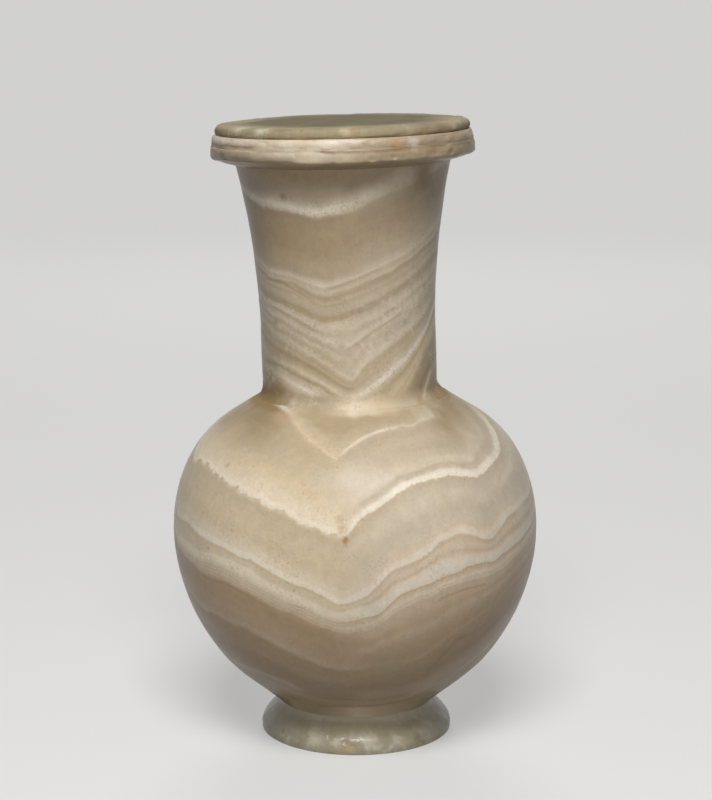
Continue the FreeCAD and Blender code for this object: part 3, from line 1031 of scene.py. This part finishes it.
def stains_and_painted_light(stone, colour, stains_and_light):
    """Patches of another colour at points of the photographed view, each with a ragged edge; a few are
    painted shade and painted highlights.
    """
    rag = stone.noise(1.5, 19, 5, 0.75)
    for pixel, radius, patch_colour, strength in stains_and_light:
        centre = surface_point(pixel) / MM
        colour = stone.mix(stone.patch(centre, radius, rag) * strength, colour, patch_colour)
    return colour


def veined(stone, colour, name, vein_colour):
    """Draws the veins that put_veins stored, a little frayed."""
    fray = (stone.noise(1.2, 23, 3, 0.5) - 0.5) * 0.9
    distance = stone.math("ABSOLUTE", stone.attribute(name) + fray)
    strength = stone.attribute(name + "_strength") * (0.55 + stone.noise(3, 24, 2, 0.5) * 0.9)
    return stone.mix(distance.falls(0, 1.5) * strength, colour, vein_colour)


def polished(stone, colour, roughness, specular, spread, height):
    """A translucent surface with fine relief, in which red, green and blue light spread so many metres."""
    return stone.cover(
        Base_Color=colour, Roughness=roughness, Specular_IOR_Level=specular, IOR=1.49,
        Subsurface_Weight=0.15, Subsurface_Radius=spread, Subsurface_Scale=1,
        Normal=stone.relief(height, 0.14 * MM),
    )


def banded_stone(name, ramps, stains_and_light, brightness, pepper, foot_colour=None, grimy=False, **layering):
    """Polished travertine whose colour follows the layers stored on the mesh."""
    stone = Shader(name)
    colour, laminae = bands(stone, ramps, **layering)
    cloud = stone.noise(20, 11, 3, 0.55) - 0.5
    mottle = stone.noise(3.6, 12, 5, 0.7) - 0.5
    grain = stone.noise(0.6, 13) - 0.5
    crystals = stone.noise(1.5, 14, place=stone.stretched(0.16)) - 0.5
    light = brightness + laminae * 0.07 + cloud * 0.14 + mottle * 0.36 + grain * 0.24 + crystals * 0.13
    colour = stone.vector("SCALE", colour, light)
    warm = stone.noise(22, 17, 4).rises(0.4, 0.7) * 0.2
    colour = stone.mix(warm, colour, tone(250, 240, 224), "MULTIPLY")
    if foot_colour:
        low = (stone.axes[2] + (stone.noise(5, 33) - 0.5) * 0.8).falls(13.4, 15.4)
        colour = stone.mix(low * 0.9, colour, foot_colour)
    colour = joined(stone, colour)
    colour = veined(stone, colour, "white_vein", VEIN_WHITE)
    colour = veined(stone, colour, "dark_vein", VEIN_BROWN)
    colour = peppered(stone, colour, *pepper)
    pit = stone.math("MAXIMUM", stone.specks(4, 0.2, 0.5, 3), stone.specks(1.9, 0.2, 0.3, 9)) * 0.6
    colour = stone.mix(pit * 0.38, colour, COCOA)
    colour = stains_and_painted_light(stone, colour, stains_and_light)
    roughness = 0.34 + mottle * 0.12 + grain * 0.14 + pit * 0.25 + stone.attribute("joint") * 0.35
    if grimy:
        grime_and_shade = stone.attribute("grime_and_shade") * (0.6 + stone.noise(0.9, 27, 3, 0.65) * 0.8)
        colour = stone.mix(grime_and_shade.rises(0.25, 1.1) * 0.9, colour, SEPIA)
        roughness = roughness + grime_and_shade * 0.2
    height = grain * 0.3 + mottle * 0.5 - pit * 1.2
    return polished(stone, colour, roughness, 0.29, (0.0026, 0.0019, 0.0012), height)


def plain_stone(name, tones, stains_and_light, specular, roughness, top=None, near_top=None):
    """Cloudy stone of a body, a light and a dark tone, with one more tone for the lid's top face, painted
    darker as painted shade, and one for the foot's top, painted lighter against the shade under the belly.
    """
    stone = Shader(name)
    body, light, dark = tones
    cloud = stone.noise(11, 1, distortion=0.4)
    colour = stone.mix(cloud.rises(0.48, 0.66), body, light)
    colour = stone.mix(cloud.falls(0.3, 0.42), colour, dark)
    # The lid's darker top is painted shade
    if top:
        patches = 0.6 + stone.noise(16, 31, 4, 0.65) * 0.7
        colour = stone.mix(stone.attribute("top") * patches, colour, top)
        # Painted contact shadow where the lid sits on the rim
        contact_shadow = stone.attribute("grime_and_shade") * (0.6 + stone.noise(2, 32) * 0.8)
        colour = stone.mix(contact_shadow, colour, SEPIA)
    # The foot's top is painted lighter to make up for the shade under the belly: painted light
    if near_top:
        colour = stone.mix(stone.axes[2].rises(5, 11) * 0.7, colour, near_top)
    fibres = stone.noise(1.2, 4, place=stone.stretched(0.09)) - 0.5
    mottle = stone.noise(2.6, 6, 4, 0.65) - 0.5
    grain = stone.noise(0.5, 7) - 0.5
    colour = stone.vector("SCALE", colour, 1 + fibres * 0.26 + mottle * 0.2 + grain * 0.16)
    pit = stone.specks(2.8, 0.25, 0.4, 5)
    colour = stone.mix(pit * 0.3, colour, COCOA)
    colour = stains_and_painted_light(stone, colour, stains_and_light)
    gloss = roughness + mottle * 0.14 + grain * 0.12 + pit * 0.2
    height = grain * 0.3 + mottle * 0.7 + fibres * 0.5 - pit
    return polished(stone, colour, gloss, specular, (0.0024, 0.0021, 0.0015), height)


def plaster(name):
    bed = Shader(name)
    noise = bed.noise(1.5, 0, 4, 0.65)
    mottle = noise - 0.5
    colour = bed.mix(noise.rises(0.3, 0.7), tone(176, 154, 124), tone(204, 184, 152))
    return bed.cover(Base_Color=colour, Roughness=0.85 + mottle * 0.2, Normal=bed.relief(mottle, 0.1 * MM))


# Stains, and some painted shade and painted highlights marked below: pixel of the photographed view, radius
# in millimetres, colour and strength
BELLY_STAINS_AND_SHADE = [
    ((345, 541), 2.3, tone(172, 122, 76), 0.85),
    ((342, 530), 3.2, OCHRE, 0.55),
    ((339, 519), 2.6, OCHRE, 0.4),
    ((429, 553), 0.9, SEPIA, 0.5),
    ((208, 548), 1.2, RUST, 0.5),
    ((227, 465), 1.8, OCHRE, 0.6),
    ((283, 418), 7, PINKISH, 0.5),
    # Painted shade on the left shoulder beside the neck, over somewhat darker stone
    ((235, 412), 14, SHADED_BRONZE, 0.6),
    ((521, 509), 6, FROST, 0.5),
    ((385, 666), 9, tone(186, 172, 138), 0.5),
    ((202, 608), 0.9, SEPIA, 0.5),
    ((213, 520), 0.7, SEPIA, 0.4),
]
NECK_STAINS_AND_SHADE = [
    ((275, 322), 2.6, UMBER, 0.7),
    ((396, 145), 4.2, tone(186, 152, 112), 0.8),
    ((395, 147.5), 1.6, tone(150, 108, 68), 0.7),
    ((414, 142), 4, FROST, 0.6),
    ((342, 346), 2.2, UMBER, 0.35),
    # Painted shadow of the rim, on the neck's right just under it
    ((424, 174), 9, tone(146, 120, 88), 0.8),
    # Painted shade on the neck's left limb
    ((256, 236), 13, tone(156, 134, 104), 0.6),
    ((283, 197), 2.4, tone(142, 132, 108), 0.75),
    ((283, 196), 1, SEPIA, 0.5),
    ((291, 197), 0.9, SEPIA, 0.5),
    ((388, 312), 2.2, UMBER, 0.4),
    ((405, 322), 2.2, UMBER, 0.4),
    ((420, 306), 2.2, UMBER, 0.4),
    ((285, 238), 6, tone(176, 146, 108), 0.45),
    ((300, 228), 5, tone(176, 146, 108), 0.3),
    ((225, 157), 7, tone(188, 172, 146), 0.5),
    ((258, 158), 8, tone(188, 172, 146), 0.45),
    ((310, 160), 8, PEARL, 0.45),
    ((345, 161), 7, PEARL, 0.4),
    ((325, 143), 7, CHALK, 0.4),
    ((290, 144), 6, CHALK, 0.3),
    ((345, 412), 4.5, FROST, 0.6),
]
FOOT_STAINS_AND_HIGHLIGHTS = [
    ((283, 731), 1.9, SEPIA, 0.8),
    ((284, 736), 1.3, COCOA, 0.6),
    ((274, 731), 1, SEPIA, 0.6),
    ((295, 727), 0.7, SEPIA, 0.5),
    ((419, 737), 1.9, SEPIA, 0.8),
    ((421, 741), 1.2, tone(150, 112, 74), 0.6),
    ((341, 749), 3.2, tone(204, 174, 128), 0.6),
    ((350, 749), 2.8, tone(204, 174, 128), 0.6),
    ((336, 742), 3, FROST, 0.6),
    # These two are painted highlights of the key lamp on the foot's rounded lower edge
    ((370, 739), 5, FROST, 0.5),
    ((318, 739), 5, FROST, 0.45),
]
LID_STAINS_AND_HIGHLIGHT = [
    ((240, 128), 4.5, tone(206, 198, 176), 0.8),
    ((262, 129.5), 5, tone(206, 198, 176), 0.8),
    # A painted highlight along the lid's front edge
    ((346, 129.5), 4, tone(214, 196, 160), 0.6),
    ((440, 131), 4, tone(170, 142, 104), 0.5),
    ((425, 133), 4, tone(170, 142, 104), 0.45),
    ((355, 134), 3.5, tone(160, 134, 100), 0.4),
    ((220, 131), 3, tone(176, 152, 112), 0.5),
    ((436, 127), 12, tone(138, 121, 92), 0.7),
    ((400, 131), 8, tone(146, 128, 98), 0.5),
]

belly_material = banded_stone(
    "belly_bands", (BELLY_LEFT, BELLY_RIGHT), BELLY_STAINS_AND_SHADE, brightness=1.06, pepper=(0.5, 0.15),
    foot_colour=tone(166, 155, 129), side_shift=-2.0, lobes=1.5, lobed=(1.6, 3.2),
)
neck_material = banded_stone(
    "neck_bands", (NECK_LEFT, NECK_RIGHT), NECK_STAINS_AND_SHADE, brightness=1.045, pepper=(0.75, 0.6),
    grimy=True, side_shift=-1.0, lobes=1.0, lobed=(4.2, 6.5),
)
# Its near_top tone is painted light, against the shade under the belly
foot_material = plain_stone(
    "foot_grey_white", (tone(174, 165, 140), tone(205, 198, 176), tone(164, 154, 128)), FOOT_STAINS_AND_HIGHLIGHTS,
    specular=0.5, roughness=0.2, near_top=tone(182, 170, 144),
)
# The lid's top tone is painted shade, darker than its stone
lid_material = plain_stone(
    "lid_green_grey", (tone(164, 150, 122), tone(180, 168, 142), tone(150, 134, 104)), LID_STAINS_AND_HIGHLIGHT,
    specular=0.08, roughness=0.6, top=tone(108, 100, 76),
)
bed_material = plaster("gypsum_bed")
beds = [frame["nodes"][node] for node in ("neck_bedding", "foot_bedding")]
for bed in beds:
    for mount in bed.material_slots:
        mount.material = bed_material

for piece, node, body, slot, material in (
    (belly, "belly", "jar", "jar_stone", belly_material),
    (neck, "neck", "jar", "jar_stone", neck_material),
    (foot, "foot", "jar", "foot_stone", foot_material),
    (lid, "lid", "lid", "lid_stone", lid_material),
):
    piece.data.materials.append(material)
    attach(piece, body)
    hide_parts(node)

# The stage: a pale sweep, a dim room and three soft lights. Lengths are in metres
SWEEP_FRONT = -14.0
SWEEP_BACK = 6.0
SWEEP_HEIGHT = 3.5
SWEEP_BEND = 1.5
SWEEP_HALF_WIDTH = 12.0
BEND_STEPS = 16

# The paper and the room, as the camera sees them and in the light that they throw on the vase
PAPER_SEEN = (0.52, 0.517, 0.51, 1)
PAPER_BOUNCED = (0.09, 0.09, 0.09, 1)
PAPER_GLOW = (1.0, 0.995, 0.98, 1)
ROOM_SEEN = (0.64, 0.637, 0.627, 1)
ROOM_BOUNCED = (0.032, 0.033, 0.034, 1)

# From the first distance to the second, in millimetres, the paper stops taking light and glows evenly
PAPER_FADE = (350.0, 1900.0)
NEAR_GLOW = 0.35
FAR_GLOW = 0.64


def seen_directly(shader):
    """1 for what the camera sees directly, in a reflection or through glass, and 0 for bounced light."""
    seen = shader.make("ShaderNodeLightPath", {}, "Is Camera Ray")
    for name in ("Is Glossy Ray", "Is Transmission Ray"):
        seen = shader.math("MAXIMUM", seen, shader.make("ShaderNodeLightPath", {}, name))
    return seen


def make_sweep():
    """A floor that bends up into a back wall, plain and pale."""
    profile = [(SWEEP_FRONT, 0.0)]
    for k in range(BEND_STEPS + 1):
        turn = math.pi / 2 * k / BEND_STEPS
        flat_end = SWEEP_BACK - SWEEP_BEND
        profile.append((flat_end + SWEEP_BEND * math.sin(turn), SWEEP_BEND - SWEEP_BEND * math.cos(turn)))
    profile.append((SWEEP_BACK, SWEEP_HEIGHT))
    vertices = [(x, y, z) for y, z in profile for x in (-SWEEP_HALF_WIDTH, SWEEP_HALF_WIDTH)]
    faces = [(2 * i, 2 * i + 1, 2 * i + 3, 2 * i + 2) for i in range(len(profile) - 1)]
    mesh = bpy.data.meshes.new("sweep")
    mesh.from_pydata(vertices, [], faces)
    mesh.polygons.foreach_set("use_smooth", np.ones(len(faces), bool))
    sweep = bpy.data.objects.new("sweep", mesh)
    bpy.context.scene.collection.objects.link(sweep)
    paper = Shader("pale_paper")
    seen = seen_directly(paper)
    distance = paper.vector("LENGTH", paper.place, output="Value")
    shown = paper.mix(distance.rises(*PAPER_FADE), PAPER_SEEN, (0.0, 0.0, 0.0, 1))
    material = paper.cover(
        Base_Color=paper.mix(seen, PAPER_BOUNCED, shown), Emission_Color=PAPER_GLOW,
        Emission_Strength=seen * distance.rises(*PAPER_FADE, NEAR_GLOW, FAR_GLOW),
        Roughness=1.0, Specular_IOR_Level=0.0,
    )
    mesh.materials.append(material)


def make_world():
    room = Shader("dim_room", "worlds", "Background")
    bpy.context.scene.world = room.cover(Color=room.mix(seen_directly(room), ROOM_BOUNCED, ROOM_SEEN))


def make_softbox(name, azimuth, elevation, distance, size, level, glossy=True, lights=()):
    """A rectangular light that gives a facing white surface that level, on all or only on some objects."""
    lamp = bpy.data.lights.new(name, "AREA")
    lamp.shape = "RECTANGLE"
    lamp.size, lamp.size_y = size
    lamp.energy = level * math.pi**2 * distance**2
    light = bpy.data.objects.new(name, lamp)
    light.visible_glossy = glossy
    turn, rise = math.radians(azimuth), math.radians(elevation)
    towards = Vector((math.sin(turn) * math.cos(rise), -math.cos(turn) * math.cos(rise), math.sin(rise)))
    light.location = Vector((0, 0, (cad_bounds[0].z + cad_bounds[1].z) / 2)) + towards * distance
    light.rotation_mode = "QUATERNION"
    light.rotation_quaternion = towards.to_track_quat("Z", "Y")
    bpy.context.scene.collection.objects.link(light)
    if lights:
        receivers = bpy.data.collections.new(name + "_receivers")
        for piece in lights:
            receivers.objects.link(piece)
        light.light_linking.receiver_collection = receivers


make_sweep()
make_world()
make_softbox("key", -2, 53, 1.3, (0.6, 0.5), 0.8)
vase = [belly, neck, foot, lid, *beds]
make_softbox("front_fill", 0, 6, 1.6, (0.6, 0.3), 0.28, glossy=False, lights=vase)
make_softbox("back_fill", 180, 24, 2.6, (1.2, 0.9), 0.46, glossy=False)

camera_data = bpy.data.cameras.new("camera")
camera_data.sensor_fit = "AUTO"
camera_data.sensor_width = 36
camera_data.lens = FOCAL_PIXELS / PHOTO_HEIGHT * camera_data.sensor_width
camera = bpy.data.objects.new("camera", camera_data)
camera.location = CAMERA_PLACE
camera.rotation_euler = (math.pi / 2 - CAMERA_PITCH, 0, 0)
bpy.context.scene.collection.objects.link(camera)
bpy.context.scene.camera = camera
bpy.context.scene.view_settings.view_transform = "Standard"
